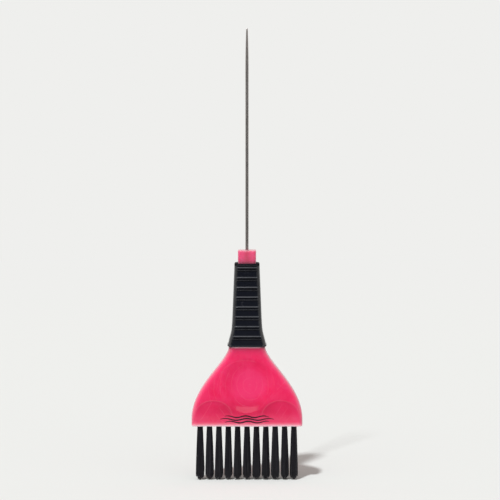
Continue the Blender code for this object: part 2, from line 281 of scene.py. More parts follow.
def bake_modifiers(obj):
    """Applies the object's modifiers to its mesh."""
    graph = bpy.context.evaluated_depsgraph_get()
    mesh = bpy.data.meshes.new_from_object(obj.evaluated_get(graph))
    obj.modifiers.clear()
    obj.data = mesh


def subtract(obj, tools):
    """Cuts the tool objects out of obj and removes them."""
    for tool in tools:
        cut = obj.modifiers.new("cut", "BOOLEAN")
        cut.operation = "DIFFERENCE"
        cut.object = tool
    bake_modifiers(obj)
    for tool in tools:
        bpy.data.objects.remove(tool, do_unlink=True)


def set_attribute(obj, name, values):
    attribute = obj.data.attributes.new(name, "FLOAT", "POINT")
    attribute.data.foreach_set("value", np.asarray(values, np.float32))


def vertex_array(obj):
    co = np.zeros(len(obj.data.vertices) * 3)
    obj.data.vertices.foreach_get("co", co)
    return co.reshape(-1, 3)


# ---------------------------------------------------------------- node helpers


class Nodes:
    """Short calls for building a shader."""

    def __init__(self, tree):
        self.tree = tree
        self.tree.nodes.clear()

    def add(self, kind, inputs=None, **settings):
        node = self.tree.nodes.new(kind)
        for key, value in settings.items():
            setattr(node, key, value)
        for key, value in (inputs or {}).items():
            self.feed(node.inputs[key], value)
        return node

    def feed(self, socket, value):
        if isinstance(value, bpy.types.NodeSocket):
            self.tree.links.new(value, socket)
        else:
            socket.default_value = value

    def math(self, operation, *values):
        node = self.add("ShaderNodeMath", operation=operation)
        for socket, value in zip(node.inputs, values):
            self.feed(socket, value)
        return node.outputs[0]

    def step(self, value, low, high, to_low=0.0, to_high=1.0):
        node = self.add("ShaderNodeMapRange", interpolation_type="SMOOTHSTEP")
        for key, item in (("Value", value), ("From Min", low), ("From Max", high)):
            self.feed(node.inputs[key], item)
        self.feed(node.inputs["To Min"], to_low)
        self.feed(node.inputs["To Max"], to_high)
        return node.outputs["Result"]

    def mix(self, factor, a, b):
        node = self.add("ShaderNodeMix", data_type="RGBA")
        self.feed(node.inputs[0], factor)
        self.feed(node.inputs[6], a)
        self.feed(node.inputs[7], b)
        return node.outputs[2]

    def attribute(self, name):
        return self.add("ShaderNodeAttribute", attribute_name=name).outputs["Fac"]

    def position(self, scale=(1, 1, 1)):
        place = self.add("ShaderNodeTexCoord").outputs["Object"]
        mapping = self.add("ShaderNodeMapping", {"Vector": place, "Scale": scale})
        return mapping.outputs["Vector"]

    def noise(self, vector, scale, detail=2.0, roughness=0.5, distortion=0.0):
        inputs = {
            "Vector": vector,
            "Scale": scale,
            "Detail": detail,
            "Roughness": roughness,
            "Distortion": distortion,
        }
        return self.add("ShaderNodeTexNoise", inputs).outputs["Fac"]

    def bump(self, height, distance, strength=1.0, normal=None):
        inputs = {"Height": height, "Distance": distance, "Strength": strength}
        if normal is not None:
            inputs["Normal"] = normal
        return self.add("ShaderNodeBump", inputs).outputs["Normal"]

    def principled(self, **inputs):
        named = {key.replace("_", " "): value for key, value in inputs.items()}
        shader = self.add("ShaderNodeBsdfPrincipled", named)
        self.add("ShaderNodeOutputMaterial", {"Surface": shader.outputs[0]})
        return shader


def new_material(name):
    material = bpy.data.materials.new(name)
    material.use_nodes = True
    return material, Nodes(material.node_tree)


def dress(obj, material):
    obj.data.materials.clear()
    obj.data.materials.append(material)


def rgb(red, green, blue):
    return (red, green, blue, 1.0)


# ---------------------------------------------------------------- materials


def hairlines(nodes, scale, width):
    """Thin curved scratches: 1 on a scratch and 0 off it."""
    field = nodes.noise(nodes.position(), scale, detail=0.0, distortion=0.25)
    from_middle = nodes.math("ABSOLUTE", nodes.math("SUBTRACT", field, 0.5))
    return nodes.step(from_middle, 0.0, width, 1.0, 0.0)


def flow_arcs(nodes, flow):
    """Faint arcs round the thumb dish, where the melt met: 1 on an arc and 0 off it."""
    place = nodes.add("ShaderNodeSeparateXYZ", {"Vector": nodes.position()}).outputs
    across = nodes.math("SUBTRACT", place["X"], DISC_X)
    along = nodes.math("MULTIPLY", nodes.math("SUBTRACT", place["Z"], DISH_Z), 0.86)
    square = nodes.math("ADD", nodes.math("MULTIPLY", across, across), nodes.math("MULTIPLY", along, along))
    wander = nodes.math("MULTIPLY", flow, 0.6)
    turns = nodes.math("ADD", nodes.math("DIVIDE", nodes.math("SQRT", square), ARC_PITCH), wander)
    from_arc = nodes.math("ABSOLUTE", nodes.math("SUBTRACT", nodes.math("FRACT", turns), 0.5))
    return nodes.step(from_arc, 0.0, 0.07, 1.0, 0.0)


def make_pink_plastic():
    """Translucent moulding: painted paler where it is thin and light comes through, deeper where the dark
    roots of the tufts sit inside, with painted shade and painted pale edges and highlights.
    """
    material, nodes = new_material("pink_plastic")
    cloud = nodes.noise(nodes.position(), 75.0, detail=2.0, distortion=1.2)
    flow = nodes.noise(nodes.position((1, 1, 0.6)), 190.0, detail=3.0, distortion=2.5)
    body = nodes.mix(nodes.step(cloud, 0.38, 0.62), rgb(0.81, 0.018, 0.102), rgb(0.84, 0.030, 0.130))
    body = nodes.mix(nodes.step(flow, 0.45, 0.62, 0.0, 0.25), body, rgb(0.83, 0.055, 0.165))
    # painted light: paler where the plastic is thin and light comes through it
    body = nodes.mix(nodes.attribute("thin"), body, rgb(0.87, 0.056, 0.200))
    # deeper over the dark roots of the tufts, and painted shade inside the top of each scoop
    body = nodes.mix(nodes.attribute("deep"), body, rgb(0.62, 0.021, 0.086))
    # painted shade under the grip's lip, along the lower band, and on the stub towards the grip
    body = nodes.mix(nodes.attribute("shade"), body, rgb(0.16, 0.030, 0.055))
    patch = nodes.step(cloud, 0.42, 0.6)
    scratch = nodes.math("MULTIPLY", hairlines(nodes, 30.0, 0.004), patch)
    meeting = nodes.noise(nodes.position(), 120.0, detail=1.0)
    arcs = nodes.math("MULTIPLY", flow_arcs(nodes, cloud), nodes.step(meeting, 0.47, 0.6))
    lines = nodes.math("MAXIMUM", scratch, nodes.math("MULTIPLY", arcs, 0.8))
    body = nodes.mix(nodes.math("MULTIPLY", lines, 0.085), body, rgb(0.93, 0.42, 0.52))
    # painted light: pale glowing edges, and painted highlights along the shoulder and over the scoops
    body = nodes.mix(nodes.attribute("rim"), body, rgb(0.93, 0.60, 0.68))
    peel = nodes.noise(nodes.position(), 210.0, detail=1.0)
    normal = nodes.bump(peel, 0.00005, 0.25)
    normal = nodes.bump(lines, -0.00002, 0.4, normal)
    grime = nodes.noise(nodes.position(), 700.0, detail=4.0, roughness=0.6)
    roughness = nodes.step(grime, 0.3, 0.75, 0.05, 0.12)
    nodes.principled(
        Base_Color=body,
        Roughness=roughness,
        IOR=1.49,
        Subsurface_Weight=0.25,
        Subsurface_Radius=(0.0022, 0.0005, 0.0008),
        Subsurface_Scale=1.0,
        Normal=normal,
    )
    return material


def make_rubber():
    """Bluish black rubber: satin on the ribs and the frame round them, duller on the pocket floors, with
    painted highlights along the frame's outer edges, the ribs' edges and the foot.
    """
    material, nodes = new_material("grip_rubber")
    dust_and_sheen = nodes.noise(nodes.position(), 900.0, detail=5.0, roughness=0.65)
    smear_and_sheen = nodes.noise(nodes.position((1, 1, 0.35)), 180.0, detail=3.0, distortion=1.0)
    floor = nodes.attribute("pocket")
    body = nodes.mix(nodes.step(smear_and_sheen, 0.35, 0.7), rgb(0.0008, 0.0012, 0.0034), rgb(0.0016, 0.0022, 0.0052))
    body = nodes.mix(nodes.math("MULTIPLY", floor, 0.85), body, rgb(0.0026, 0.0044, 0.0120))
    # painted highlight along the frame's outer edges, broken up by noise
    edge_highlight = nodes.math("MULTIPLY", nodes.attribute("edge"), nodes.step(dust_and_sheen, 0.35, 0.65, 0.7, 1.0))
    body = nodes.mix(nodes.math("MULTIPLY", edge_highlight, 0.85), body, rgb(0.050, 0.051, 0.054))
    # painted highlights along the ribs' edges and the foot
    rib_highlight = nodes.math("MULTIPLY", nodes.attribute("lip"), nodes.step(smear_and_sheen, 0.3, 0.6, 0.7, 1.0))
    body = nodes.mix(rib_highlight, body, rgb(0.085, 0.088, 0.100))
    lines = nodes.math("MULTIPLY", hairlines(nodes, 120.0, 0.012), nodes.step(smear_and_sheen, 0.5, 0.62))
    body = nodes.mix(nodes.math("MULTIPLY", lines, 0.35), body, rgb(0.05, 0.05, 0.06))
    grain = nodes.noise(nodes.position(), 2600.0, detail=3.0, roughness=0.6)
    normal = nodes.bump(grain, 0.00003, nodes.step(floor, 0.0, 1.0, 0.25, 0.6))
    normal = nodes.bump(lines, -0.00003, 0.5, normal)
    satin = nodes.step(dust_and_sheen, 0.3, 0.7, 0.18, 0.27)
    dull = nodes.attribute("dull")
    rougher = nodes.math("MAXIMUM", nodes.math("MULTIPLY", floor, 0.16), nodes.math("MULTIPLY", dull, 0.45))
    roughness = nodes.math("ADD", satin, rougher)
    gloss = nodes.math("SUBTRACT", 0.5, nodes.math("MULTIPLY", dull, 0.40))
    nodes.principled(
        Base_Color=body,
        Roughness=roughness,
        IOR=1.42,
        Specular_IOR_Level=gloss,
        Normal=normal,
    )
    return material


def make_pin_steel():
    """Drawn steel: streaks along the pin, with browner stains."""
    material, nodes = new_material("pin_steel")
    drawn = nodes.noise(nodes.position((60, 60, 1)), 60.0, detail=3.0)
    stain = nodes.noise(nodes.position((1, 1, 0.3)), 220.0, detail=3.0)
    body = nodes.mix(drawn, rgb(0.43, 0.405, 0.39), rgb(0.59, 0.56, 0.54))
    body = nodes.mix(nodes.step(stain, 0.45, 0.75, 0.0, 0.35), body, rgb(0.27, 0.25, 0.23))
    normal = nodes.bump(drawn, 0.00002, 0.3)
    roughness = nodes.step(drawn, 0.3, 0.7, 0.24, 0.38)
    nodes.principled(Base_Color=body, Metallic=0.88, Roughness=roughness, Normal=normal)
    return material


def make_anchor_wire():
    """Flat drawn wire, streaked along its length."""
    material, nodes = new_material("anchor_wire")
    drawn = nodes.noise(nodes.position((1, 30, 30)), 120.0, detail=3.0)
    body = nodes.mix(drawn, rgb(0.42, 0.42, 0.40), rgb(0.66, 0.66, 0.63))
    normal = nodes.bump(drawn, 0.00003, 0.4)
    roughness = nodes.step(drawn, 0.3, 0.7, 0.28, 0.42)
    nodes.principled(Base_Color=body, Metallic=1.0, Roughness=roughness, Normal=normal)
    return material


def make_nylon():
    """Black nylon whose tone differs from filament to filament."""
    material, nodes = new_material("bristle_nylon")
    tone = nodes.attribute("tone")
    streak = nodes.noise(nodes.position((1, 1, 0.12)), 900.0, detail=3.0)
    body = nodes.mix(tone, rgb(0.006, 0.0056, 0.0085), rgb(0.021, 0.0195, 0.028))
    body = nodes.mix(nodes.step(streak, 0.55, 0.8, 0.0, 0.3), body, rgb(0.045, 0.042, 0.048))
    roughness = nodes.step(streak, 0.3, 0.7, 0.32, 0.48)
    normal = nodes.bump(streak, 0.00001, 0.3)
    nodes.principled(Base_Color=body, Roughness=roughness, IOR=1.53, Normal=normal)
    return material


def make_ink():
    """Dark ink, a little red from the plastic under it."""
    material, nodes = new_material("print_ink")
    speck = nodes.noise(nodes.position(), 2500.0, detail=3.0)
    body = nodes.mix(speck, rgb(0.020, 0.004, 0.010), rgb(0.050, 0.010, 0.022))
    roughness = nodes.step(speck, 0.3, 0.7, 0.3, 0.45)
    normal = nodes.bump(speck, 0.00001, 0.4)
    nodes.principled(Base_Color=body, Roughness=roughness, Normal=normal)
    return material


# ---------------------------------------------------------------- outlines and hollows


def bezier_profile(points, steps=200):
    """(half widths, heights) along one cubic curve."""
    t = np.linspace(0.0, 1.0, steps)[:, None]
    p = np.array(points, float)
    curve = (1 - t) ** 3 * p[0] + 3 * t * (1 - t) ** 2 * p[1] + 3 * t**2 * (1 - t) * p[2] + t**3 * p[3]
    return curve[:, 0], curve[:, 1]


HEAD_CURVE = bezier_profile(
    [
        (HEAD_HALF_WIDTH, BAND_TOP_Z),
        (HEAD_HALF_WIDTH, BAND_TOP_Z + LOWER_HANDLE),
        (NECK_HALF_WIDTH, SHOULDER_Z - UPPER_HANDLE),
        (NECK_HALF_WIDTH, SHOULDER_Z),
    ]
)
GRIP_CURVE = bezier_profile(
    [
        (GRIP_LIP_HALF_WIDTH, GRIP_BOTTOM_Z),
        (GRIP_LIP_HALF_WIDTH - 2.83 * MM, GRIP_BOTTOM_Z + 11.0 * MM),
        (GRIP_TOP_HALF_WIDTH + 1.66 * MM, GRIP_TOP_Z - 39.8 * MM),
        (GRIP_TOP_HALF_WIDTH, GRIP_TOP_Z),
    ]
)


def head_half_width(z):
    return np.interp(z, HEAD_CURVE[1], HEAD_CURVE[0])


def grip_half_width(z):
    return np.interp(z, GRIP_CURVE[1], GRIP_CURVE[0])


def head_half_depth(z):
    return HEAD_HALF_DEPTH + (NECK_HALF_DEPTH - HEAD_HALF_DEPTH) * smooth_step(FLAT_TOP_Z, SHOULDER_Z, z)


def grip_half_depth(z):
    share = (GRIP_TOP_Z - z) / (GRIP_TOP_Z - GRIP_BOTTOM_Z)
    return GRIP_TOP_HALF_DEPTH + (GRIP_LIP_HALF_DEPTH - GRIP_TOP_HALF_DEPTH) * share**4


def dish_depth(x, z):
    """How deep the thumb dish is below the face at (x, z). Its rim is soft but for the lower end."""
    out = np.sqrt((x / DISH_HALF_WIDTH) ** 2 + ((z - DISH_Z) / DISH_HALF_HEIGHT) ** 2)
    depth = DISH_DEPTH * (1 - out**3)
    soft = 0.30 * MM * smooth_step(DISH_Z - 11 * MM, DISH_Z - 4 * MM, z) + 0.02 * MM
    return (depth + np.sqrt(depth**2 + soft**2)) / 2


def scoop_reach(x, z):
    """0 at the middle of the nearer side scoop and 1 on its edge."""
    across = (np.abs(x) - SCOOP_X) / SCOOP_HALF_WIDTH
    return np.sqrt(across**2 + ((z - SCOOP_Z) / SCOOP_HALF_HEIGHT) ** 2)


def scoop_depth(x, z):
    """How deep the two shallow scoops beside the dish are at (x, z)."""
    inside = np.maximum(1 - scoop_reach(x, z), 0)
    return SCOOP_DEPTH * (1 - np.exp(-inside / 0.16))


def tang_half_sizes(z):
    """(half width, half depth) of the tang, which grows from the stub down to the shoulder."""
    spread = max(0.0, (GRIP_TOP_Z - z) / (GRIP_TOP_Z - SHOULDER_Z))
    half_width = TANG_HALF_WIDTH + (TANG_FOOT_HALF_WIDTH - TANG_HALF_WIDTH) * spread
    return half_width, TANG_HALF_DEPTH + TANG_SWELL * spread


def face_hollow(x, z):
    """How deep the head's face is sunk at (x, z) by the dish and the scoops."""
    return np.maximum(dish_depth(x, z), scoop_depth(x, z))


# ---------------------------------------------------------------- handle


def tuft_places():
    """{(row, column): (x, y)} of each tuft's hole, from the frame."""
    places = {}
    for row in ROWS:
        for column in COLUMNS:
            low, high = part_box(f"{row}_tuft_{column:02d}")
            places[row, column] = ((low.x + high.x) / 2, (low.y + high.y) / 2)
    return places


def add_cylinder(shape, radius, segments, depth, centre):
    made = bmesh.ops.create_cone(
        shape, cap_ends=True, segments=segments, radius1=radius, radius2=radius, depth=depth
    )
    bmesh.ops.translate(shape, verts=made["verts"], vec=centre)


def hole_tool():
    """All the blind holes as one cutter mesh."""
    shape = bmesh.new()
    depth = HOLE_DEPTH + 1.0 * MM
    for x, y in tuft_places().values():
        add_cylinder(shape, HOLE_RADIUS, 28, depth, (x, y, MOUTH_Z + HOLE_DEPTH - depth / 2))
    return bmesh_object("holes", shape)


def slot_tool():
    """The slots that the anchors bite into, as one cutter mesh."""
    shape = bmesh.new()
    for row in ROWS:
        for column in COLUMNS:
            low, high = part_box(f"{row}_anchor_{column:02d}")
            size = (high - low) + Vector((0.2, 0.2, 0.2)) * MM
            made = bmesh.ops.create_cube(shape, size=1)
            bmesh.ops.scale(shape, verts=made["verts"], vec=size)
            bmesh.ops.translate(shape, verts=made["verts"], vec=(low + high) / 2)
    return bmesh_object("slots", shape)


def bore_tool():
    """The bore that the pin's root fills, as a cutter mesh."""
    shape = bmesh.new()
    top, root = STUB_TOP_Z + 1.0 * MM, pin_low.z - 1.0 * MM
    add_cylinder(shape, PIN_RADIUS + 0.06 * MM, PIN_SEGMENTS, top - root, (0, 0, (top + root) / 2))
    return bmesh_object("bore", shape)


def head_levels():
    """(height, inset) of the head's sections, from its lower edge to the shoulder."""
    count = 130
    start, end = MOUTH_Z + BOTTOM_BREAK, SHOULDER_Z - SHOULDER_BREAK
    straight = [(start + (end - start) * step / count, 0.0) for step in range(1, count + 1)]
    return lower_break(MOUTH_Z, BOTTOM_BREAK) + straight + upper_break(end, SHOULDER_BREAK)


def tang_levels():
    """(height, inset) of the sections of the tang and the stub, from the shoulder up."""
    count = 12
    start, end = GRIP_TOP_Z, STUB_TOP_Z - STUB_BREAK
    tang = [(SHOULDER_Z, 0.0), (SHOULDER_Z + 8 * MM, 0.0), (GRIP_TOP_Z - 2 * MM, 0.0)]
    stub = [(start + (end - start) * (step / count), 0.0) for step in range(count + 1)]
    return tang + stub + upper_break(end, STUB_BREAK)


def head_ring(z, inset):
    """One section of the head, sunk by the dish and the scoops, with its parting line."""
    half_width, half_depth = float(head_half_width(z)), float(head_half_depth(z))
    share = max(0.0, (z - BAND_TOP_Z) / (SHOULDER_Z - BAND_TOP_Z))
    radius = HEAD_EDGE_RADIUS + (NECK_EDGE_RADIUS - HEAD_EDGE_RADIUS) * share
    section = rounded_section(half_width, half_depth, radius, HANDLE_STEPS, inset)
    section[:, 1] *= 1 - face_hollow(section[:, 0], z) / half_depth
    add_seam(section, HANDLE_STEPS)
    return ring_at(section, z)


def tang_ring(z, inset):
    """One section of the tang or the stub."""
    half_width, half_depth = tang_half_sizes(z)
    return ring_at(rounded_section(half_width, half_depth, TANG_EDGE_RADIUS, HANDLE_STEPS, inset), z)


def handle_rings():
    """Sections of the moulding: broken lower edge, hollowed head, shoulder, tang and stub."""
    head = [head_ring(z, inset) for z, inset in head_levels()]
    tang = [tang_ring(z, inset) for z, inset in tang_levels()]
    return head + tang


def head_rim(x, z, from_side, from_top):
    """Painted light: pale edges all round, brightest along the bottom and as a thin painted highlight along
    the shoulder under the grip, a faint pale band where the sides start to curve in, and a painted
    highlight line over each scoop.
    """
    from_bottom = np.maximum(z - MOUTH_Z, 0)
    side_rim = 0.30 + 0.22 * smooth_step(43 * MM, 29 * MM, z)
    rim = np.maximum(side_rim * fade(from_side, 0.65 * MM), 1.6 * fade(from_bottom, 0.75 * MM))
    rim = np.maximum(rim, 0.60 * fade(from_top, 0.16 * MM))
    rim = np.maximum(rim, 0.05 * bell(z - BAND_TOP_Z, 2.6 * MM))
    # painted highlight along the upper edge of each scoop
    scoop_highlight = bell(scoop_reach(x, z) - 1.0, 0.03) * smooth_step(SCOOP_Z, SCOOP_Z + 4 * MM, z)
    return rim + 0.055 * scoop_highlight


def head_thin(x, z, from_side):
    """Painted light where the head lets more light through: the dish, the disc in it, and along the sides.
    """
    dish = dish_depth(x, z) / DISH_DEPTH
    from_disc = np.sqrt((x - DISC_X) ** 2 + (z - DISH_Z - 0.5 * MM) ** 2)
    disc = smooth_step(DISC_RADIUS + 1.7 * MM, DISC_RADIUS, from_disc)
    return 0.34 * smooth_step(0.3, 1.0, dish) + 0.16 * disc + 0.6 * fade(from_side, 2.6 * MM)


def head_deep(x, z, from_side):
    """Where the colour is deeper: over the dark roots of the tufts inside, and painted shade inside the top
    of each scoop.
    """
    above_roots = (z - ROOTS_Z) / np.where(z > ROOTS_Z, 5.5 * MM, 3.2 * MM)
    deep = bell(above_roots, 1.0) * (0.9 - 0.35 * smooth_step(8 * MM, 20 * MM, np.abs(x)))
    # painted shade inside the top of each scoop, where its wall faces down
    inside_scoop = np.maximum(1 - scoop_reach(x, z), 0)
    upper_part = smooth_step(SCOOP_Z, SCOOP_Z + 5 * MM, z)
    deep = deep + 0.30 * fade(inside_scoop, 0.22) * (inside_scoop > 0) * upper_part
    return deep * (1 - fade(from_side, 1.5 * MM))


def paint_head(x, z):
    """(rim, thin, deep, shade) on the head, from how far each point is from its edges: painted light,
    deeper colour and painted shade.
    """
    from_side = np.maximum(head_half_width(z) - np.abs(x), 0)
    from_top = np.maximum(SHOULDER_Z - z, 0)
    # painted shade under the grip's lip, and a little where the lower band meets the face
    under_grip = 0.64 * fade(from_top, 1.9 * MM) + 0.34 * fade(from_top, 0.9 * MM)
    shade = under_grip + 0.10 * bell(z - BAND_TOP_Z, 2.6 * MM)
    rim = head_rim(x, z, from_side, from_top)
    return rim, head_thin(x, z, from_side), head_deep(x, z, from_side), shade


def paint_stub(x, z):
    """(rim, thin, deep, shade) on the stub: painted pale edges, painted shade towards the grip, and darker
    over the pin.
    """
    from_side = np.maximum(TANG_HALF_WIDTH - np.abs(x), 0)
    from_top = np.maximum(STUB_TOP_Z - z, 0)
    # painted light along the stub's edges and top, over a slight paling all over
    rim = np.maximum(0.30 * fade(from_side, 0.5 * MM), 0.35 * fade(from_top, 0.6 * MM))
    rim = np.maximum(rim, 0.08)
    deep = 0.12 + 0.65 * bell(x, 1.4 * MM)
    # painted shade that grows towards the grip, over a slight darkening all over
    shade = 0.13 + 0.8 * fade(np.maximum(z - GRIP_TOP_Z, 0), 1.3 * MM)
    return rim, np.full_like(z, 1.0), deep, shade


def paint_handle(obj):
    """Values on each point that the plastic's shader turns into its paler and deeper places: painted light,
    painted shade, and the deeper colour over the roots and the pin.
    """
    x, _, z = vertex_array(obj).T
    on_head = z < SHOULDER_Z + 0.01 * MM
    values = zip(("rim", "thin", "deep", "shade"), paint_head(x, z), paint_stub(x, z))
    for name, head, stub in values:
        set_attribute(obj, name, np.clip(np.where(on_head, head, stub), 0, 1))


def build_handle(material):
    handle = tube_object("handle_moulding", handle_rings())
    subtract(handle, [hole_tool(), slot_tool(), bore_tool()])
    smooth(handle, 38)
    paint_handle(handle)
    dress(handle, material)
    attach(handle, HANDLE)
    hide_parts("handle_body")


# ---------------------------------------------------------------- grip


def pocket_spans():
    """(bottom, top) of each pocket with square ends, from the top of the sleeve down."""
    spans = [(FIRST_RIB_TOP_Z, FIRST_RIB_TOP_Z + TOP_POCKET_HEIGHT)]
    for rib in range(RIB_COUNT - 1):
        rib_bottom = FIRST_RIB_TOP_Z - rib * RIB_PITCH - RIB_HEIGHT
        spans.append((rib_bottom - (RIB_PITCH - RIB_HEIGHT), rib_bottom))
    return spans


def pocket_share(x, z, half_width):
    """0 on the ribs and the border, 1 on a pocket's floor. The lowest pocket's lower end is softer."""
    across = smooth_step(0.0, POCKET_EDGE, half_width - POCKET_BORDER - np.abs(x))
    along = 0.0
    for low, high in pocket_spans():
        along = max(along, float(smooth_step(0.0, POCKET_EDGE, min(z - low, high - z))))
    if z < LAST_RIB_BOTTOM_Z:
        lower = float(smooth_step(0.0, BOTTOM_POCKET_EDGE, z - BOTTOM_POCKET_END_Z))
        along = min(lower, float(smooth_step(0.0, POCKET_EDGE, LAST_RIB_BOTTOM_Z - z)))
    return across * along


def grip_levels():
    """(height, inset) of the sleeve's sections, closer together at the ends of the pockets."""
    start, end = GRIP_BOTTOM_Z + GRIP_FOOT_RADIUS, GRIP_TOP_Z - GRIP_TOP_RADIUS
    heights = list(np.linspace(start, end, 110)[1:])
    for low, high in [*pocket_spans(), (BOTTOM_POCKET_END_Z, LAST_RIB_BOTTOM_Z)]:
        for share in np.linspace(0, 1, 6):
            heights.append(high - share * POCKET_EDGE)
            heights.append(low + share * POCKET_EDGE)
    levels = lower_break(GRIP_BOTTOM_Z, GRIP_FOOT_RADIUS)
    kept = start
    for z in sorted(heights):
        if z - kept > 0.02 * MM and z <= end:
            levels.append((z, 0.0))
            kept = z
    return levels + upper_break(end, GRIP_TOP_RADIUS, 8)


def grip_ring(z, inset):
    """One section of the sleeve, with the bead and the undercut at its foot, and its parting line."""
    half_width, half_depth = float(grip_half_width(z)), float(grip_half_depth(z))
    bead = 0.12 * MM * bell(z - GRIP_BOTTOM_Z - 0.6 * MM, 0.5 * MM)
    undercut = 0.15 * MM * bell(z - GRIP_BOTTOM_Z - 1.6 * MM, 0.6 * MM)
    section = rounded_section(half_width + bead - undercut, half_depth, GRIP_EDGE_RADIUS, GRIP_STEPS, inset)
    section[:, 1] *= 1 - POCKET_DEPTH * pocket_share(section[:, 0], z, half_width) / half_depth
    add_seam(section, GRIP_STEPS)
    return ring_at(section, z)


def cavity_tool():
    """The sleeve's hollow, with a little room round the tang, as a cutter mesh."""
    rings = []
    for z in np.linspace(GRIP_BOTTOM_Z - 1 * MM, GRIP_TOP_Z + 1 * MM, 24):
        half_width, half_depth = tang_half_sizes(z)
        section = rounded_section(
            half_width + TANG_ROOM, half_depth + TANG_ROOM, TANG_EDGE_RADIUS, CAVITY_STEPS
        )
        rings.append(ring_at(section, z))
    return tube_object("cavity", rings)


def rib_edges(z):
    """Painted highlights: 1 along the upper edge of each rib, 0.6 along its lower edge, and 0 away from
    both.
    """
    width = 0.75 * POCKET_EDGE
    lip = 0.6 * bell(z - LAST_RIB_BOTTOM_Z, width)
    for low, high in pocket_spans():
        lip = np.maximum(lip, bell(z - low - 0.3 * POCKET_EDGE, width))
        lip = np.maximum(lip, 0.6 * bell(z - high, width))
    return lip


def paint_grip(obj):
    """Values on each point that the rubber's shader turns into its painted highlights and its duller
    places.

    "edge" is a painted highlight along the frame's outer edges, "lip" painted highlights on the edges of
    the ribs and along the foot,
    "pocket" on the floors between the ribs, and "dull" at the top end and below the lowest pocket.
    """
    x, y, z = vertex_array(obj).T
    from_side = grip_half_width(z) - np.abs(x)
    from_frame = from_side - POCKET_BORDER
    top_end = smooth_step(GRIP_TOP_Z - 1.6 * MM, GRIP_TOP_Z - 0.5 * MM, z)
    # painted highlight along the frame's outer edges, fading out at the top end
    edge = smooth_step(1.9 * MM, 1.1 * MM, from_side) * (1 - 0.9 * top_end)
    sunk = np.clip((grip_half_depth(z) - np.abs(y)) / POCKET_DEPTH, 0, 1)
    pocket = sunk * smooth_step(0.0, POCKET_EDGE, from_frame)
    lip = rib_edges(z) * smooth_step(-0.2 * MM, 0.1 * MM, from_frame)
    # painted highlight along the foot's edge
    foot = bell(z - GRIP_BOTTOM_Z - 0.12 * MM, 0.2 * MM)
    below = smooth_step(BOTTOM_POCKET_END_Z + 1.2 * MM, BOTTOM_POCKET_END_Z + 0.5 * MM, z)
    below = below * smooth_step(0.0, 0.6 * MM, from_frame)
    set_attribute(obj, "edge", edge)
    set_attribute(obj, "pocket", pocket)
    set_attribute(obj, "dull", np.maximum(top_end, 0.8 * below))
    set_attribute(obj, "lip", np.maximum(lip, foot))


def build_grip(material):
    grip = tube_object("grip_cover", [grip_ring(z, inset) for z, inset in grip_levels()])
    subtract(grip, [cavity_tool()])
    smooth(grip, 50)
    paint_grip(grip)
    dress(grip, material)
    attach(grip, HANDLE)
    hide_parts("grip_sleeve")


# ---------------------------------------------------------------- pin


def pin_profile():
    """(radius, height) up the pin: chamfered root, straight shaft, taper and rounded tip."""
    straight_top = pin_high.z - PIN_TIP_HEIGHT - PIN_TAPER_LENGTH
    profile = [(PIN_RADIUS - 0.3 * MM, pin_low.z), (PIN_RADIUS, pin_low.z + 0.4 * MM)]
    for share in np.linspace(0.05, 1.0, 20):
        profile.append((PIN_RADIUS, pin_low.z + (straight_top - pin_low.z) * share))
    for share in np.linspace(0.04, 1.0, 24):
        radius = PIN_TIP_RADIUS + (PIN_RADIUS - PIN_TIP_RADIUS) * (1 - share**1.8)
        profile.append((radius, straight_top + PIN_TAPER_LENGTH * share))
    for degrees in (25, 50, 70, 84):
        angle = math.radians(degrees)
        radius = PIN_TIP_RADIUS * math.cos(angle)
        profile.append((radius, pin_high.z - PIN_TIP_HEIGHT * (1 - math.sin(angle))))
    return profile


def build_pin(material):
    angles = np.arange(PIN_SEGMENTS) / PIN_SEGMENTS * 2 * math.pi
    circle = np.column_stack([np.cos(angles), np.sin(angles)])
    rings = [ring_at(radius * circle, z) for radius, z in pin_profile()]
    pin = tube_object("pin_shaft", rings)
    smooth(pin, 50)
    dress(pin, material)
    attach(pin, HANDLE)
    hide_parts("pin_tail")


# ---------------------------------------------------------------- tufts


def packed_circle(radius, spacing):
    """Hexagonally packed points in a circle, in units of its radius."""
    points = []
    rows = int(radius / spacing) + 2
    for row in range(-rows, rows + 1):
        for column in range(-rows, rows + 1):
            x = (column + 0.5 * (row % 2)) * spacing
            y = row * spacing * math.sqrt(3) / 2
            if x * x + y * y <= radius * radius:
                points.append((x / radius, y / radius))
    return np.array(points)


def filament_ends(rng, packed):
    """Where the filaments end, with how far each was from its clump's middle, and its clump.

    Places are in units of the tuft's half width and half depth.
    """
    count = len(packed)
    clumps = packed[rng.choice(count, CLUMP_COUNT, replace=False)]
    gaps = np.linalg.norm(packed[:, None, :] - clumps[None, :, :], axis=2)
    owner = np.argmin(gaps, axis=1)
    stray = rng.normal(0, 0.045, packed.shape)
    end = packed + (clumps[owner] - packed) * rng.uniform(0.10, 0.30, (count, 1)) + stray
    reach = np.linalg.norm(end, axis=1, keepdims=True)
    return end / np.maximum(reach, 1.0), np.min(gaps, axis=1), owner


def squared_off(places, out):
    """Moves places in a unit circle outwards, so that they fill a rounder square."""
    heading = np.abs(places) / np.maximum(out, 0.001)[:, None]
    return places / np.sum(heading**3, axis=1, keepdims=True) ** (1 / 3)


def tip_heights(rng, out, gap, owner):
    """How high each filament ends: the tuft's nose is round, and its clumps end raggedly."""
    ragged = rng.uniform(0.0, 0.25 * MM, len(out)) + gap * 1.5 * MM
    ragged = ragged + rng.uniform(0.0, 0.45 * MM, CLUMP_COUNT)[owner]
    tip_z = TUFT_NOSE * out**1.5 + ragged
    return np.maximum(tip_z - np.quantile(tip_z, 0.05), 0.0) + 0.02 * MM


